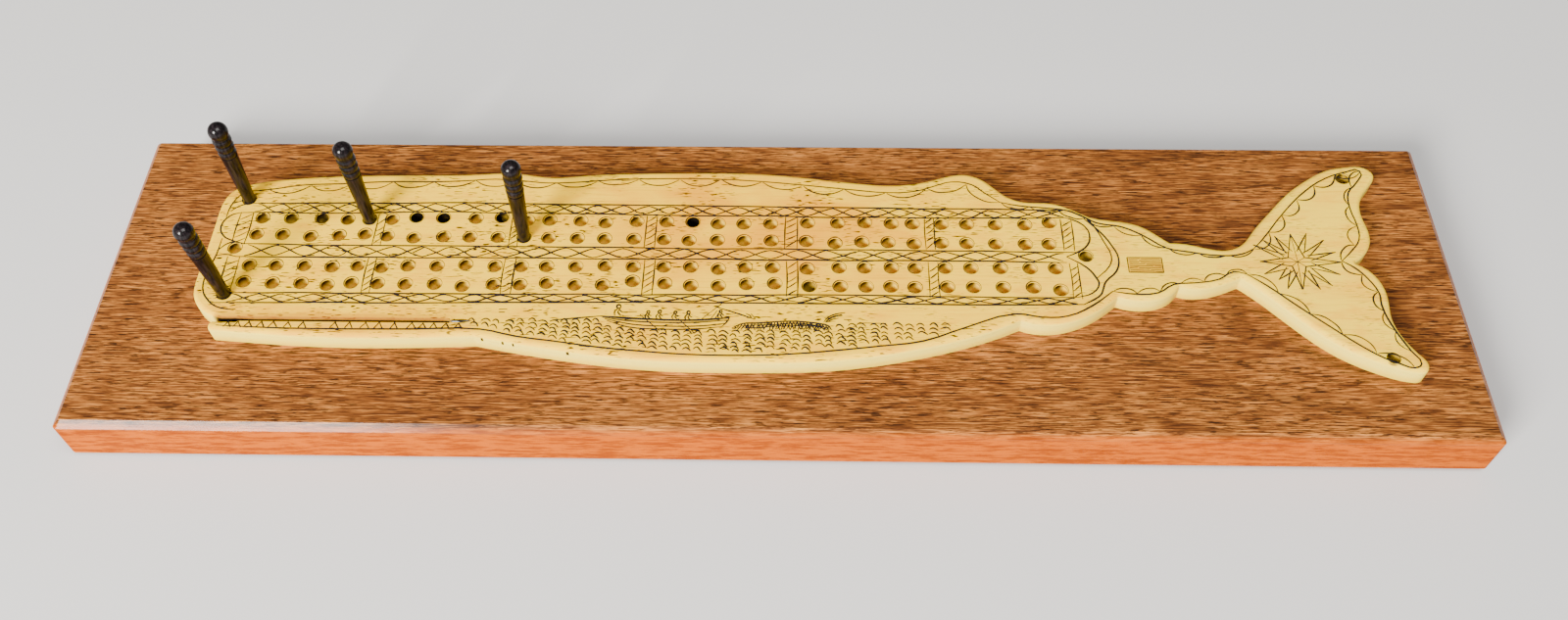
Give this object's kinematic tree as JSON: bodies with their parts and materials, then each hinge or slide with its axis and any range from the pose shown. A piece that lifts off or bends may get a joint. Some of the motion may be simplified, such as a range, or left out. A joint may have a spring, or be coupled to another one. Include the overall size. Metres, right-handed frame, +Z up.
{
  "type": "cribbage board",
  "caption": "Whale-shaped cribbage board: a flat bone plate with rows of peg holes on a wooden plank, and turned pegs that lift out of their holes.",
  "frame": {"origin": "on the surface that the board stands on, under the middle of the plank", "axes": "+X along the board towards the whale's tail, +Y towards the whale's back, +Z up"},
  "size_m": [0.33, 0.089, 0.0462],
  "materials": {
    "plank_wood": "satin lacquer",
    "bone": "polished bone",
    "screw_brass": "plain",
    "peg_wood": "polished black",
    "felt": "pressed felt",
    "ink": "dried ink"
  },
  "bodies": {
    "board": {"base_plank": "plank_wood", "whale_plate": "bone", "plate_screws": "screw_brass", "felt_pad_1": "felt", "felt_pad_2": "felt", "felt_pad_3": "felt", "felt_pad_4": "felt"},
    "peg_1": {"peg_1": "peg_wood"},
    "peg_2": {"peg_2": "peg_wood"},
    "peg_3": {"peg_3": "peg_wood"},
    "peg_4": {"peg_4": "peg_wood"}
  },
  "joints": [
    {"name": "peg_1_lift", "type": "slide", "parent": "board", "child": "peg_1", "axis": [0.0401, -0.0262, 0.9989], "range_m": [0, 0.03]},
    {"name": "peg_2_lift", "type": "slide", "parent": "board", "child": "peg_2", "axis": [0.007, -0.0157, 0.9999], "range_m": [0, 0.03]},
    {"name": "peg_3_lift", "type": "slide", "parent": "board", "child": "peg_3", "axis": [0.0454, -0.0174, 0.9988], "range_m": [0, 0.03]},
    {"name": "peg_4_lift", "type": "slide", "parent": "board", "child": "peg_4", "axis": [0.0052, -0.0628, 0.998], "range_m": [0, 0.03]}
  ]
}
